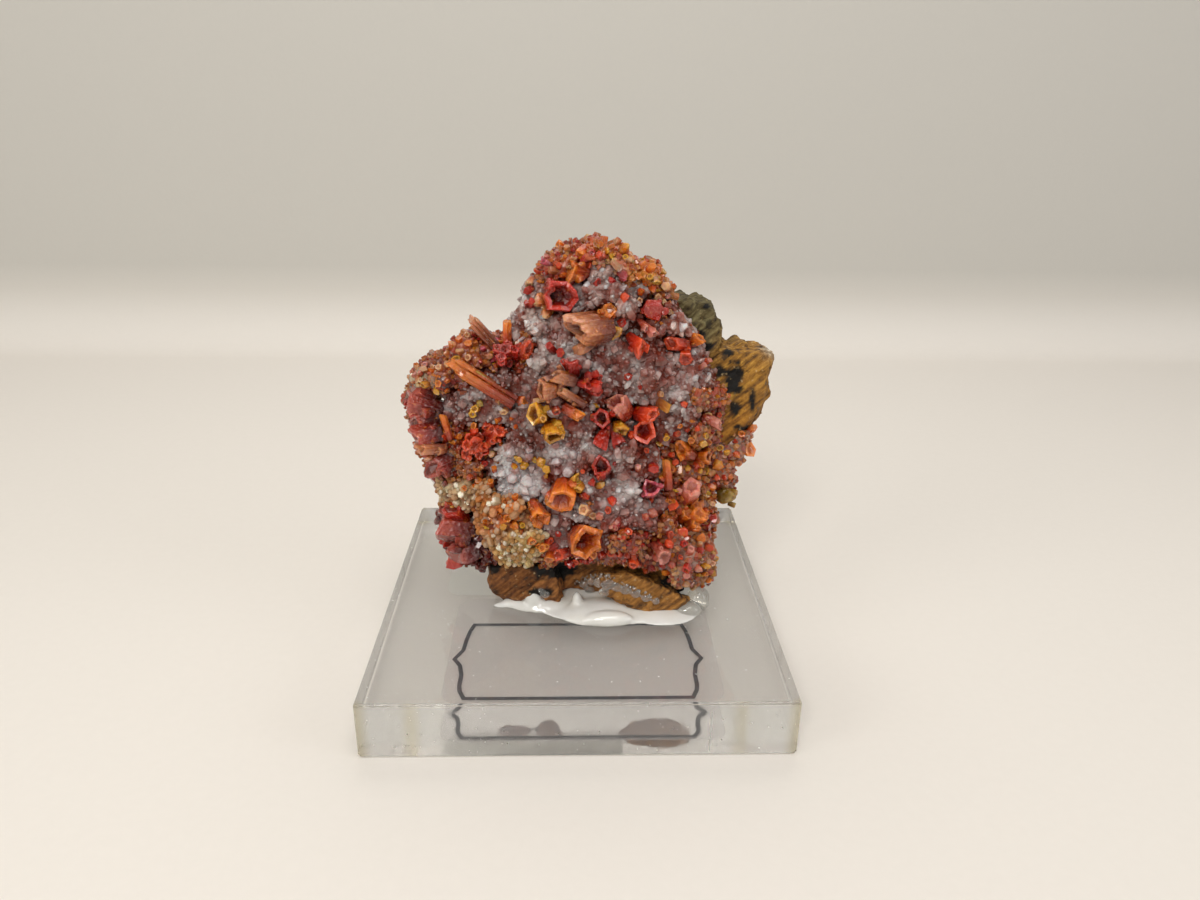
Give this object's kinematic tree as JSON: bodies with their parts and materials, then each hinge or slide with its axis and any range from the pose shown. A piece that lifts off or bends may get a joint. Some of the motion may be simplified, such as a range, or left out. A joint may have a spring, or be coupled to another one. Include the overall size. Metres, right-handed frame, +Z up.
{
  "type": "vanadinite specimen on acrylic block",
  "caption": "Red and orange six-sided crystals and mauve quartz on brown rock, glued upright on a square clear acrylic block with a blank label under it",
  "frame": {"origin": "centre of the acrylic block's underside", "axes": "+Z up; the crystal face looks along -Y; +X is to the right of someone who looks at the crystal face"},
  "size_m": [0.0444, 0.0444, 0.048],
  "materials": {
    "amber_vanadinite": "glossy amber crystal",
    "clear_acrylic": "clear polished acrylic",
    "clear_film": "clear label film",
    "cream_coating": "dull cream crust",
    "hot_glue": "milky clear glue",
    "limonite": "rough brown limonite",
    "mauve_quartz": "sparkling mauve quartz",
    "orange_vanadinite": "glossy orange crystal",
    "pale_film": "pale matt sticker",
    "red_vanadinite": "glossy red crystal",
    "tan_vanadinite": "satin tan crystal",
    "wine_vanadinite": "glossy dark red crystal"
  },
  "bodies": {
    "root": {"acrylic_block": "clear_acrylic", "amber_cups_cluster": "amber_vanadinite", "amber_spear_crystal": "orange_vanadinite", "coral_cluster": "red_vanadinite", "coral_wedge_crystal": "red_vanadinite", "cream_ledge": "cream_coating", "crown_barrel_crystal": "red_vanadinite", "crown_crust": "orange_vanadinite", "crown_wedge_crystal": "orange_vanadinite", "ember_column_crystal": "orange_vanadinite", "ember_fan_crystal": "orange_vanadinite", "ember_twin_cluster": "orange_vanadinite", "flat_top_crystal": "orange_vanadinite", "glue": "hot_glue", "great_orange_cup_crystal": "orange_vanadinite", "heart_cluster": "tan_vanadinite", "heart_ruby_crystal": "red_vanadinite", "label_film": "clear_film", "left_maroon_crystal": "wine_vanadinite", "left_wing_crust": "orange_vanadinite", "lower_left_crust": "wine_vanadinite", "lying_barrel_crystal": "tan_vanadinite", "magenta_bud_crystal": "red_vanadinite", "maroon_twin_cluster": "red_vanadinite", "matrix": "limonite", "olive_lump_crystal": "amber_vanadinite", "orange_finger_crystal": "orange_vanadinite", "orange_wedge_crystal": "orange_vanadinite", "pale_sticker": "pale_film", "pink_tooth_crystal": "tan_vanadinite", "quartz_druse": "mauve_quartz", "red_cup_crystal": "red_vanadinite", "red_rosette_crystal": "red_vanadinite", "red_sheaf_crystal": "red_vanadinite", "right_flank_crust": "orange_vanadinite", "rose_block_crystal": "orange_vanadinite", "rose_prism_crystal": "tan_vanadinite", "ruby_fan_cluster": "red_vanadinite", "ruby_hexagon_crystal": "red_vanadinite", "shoulder_cluster": "orange_vanadinite", "shoulder_wedge_crystal": "red_vanadinite", "slim_finger_crystal": "orange_vanadinite", "striated_stack_cluster": "wine_vanadinite", "tan_spike_crystal": "tan_vanadinite", "wine_cluster": "wine_vanadinite"}
  },
  "joints": []
}
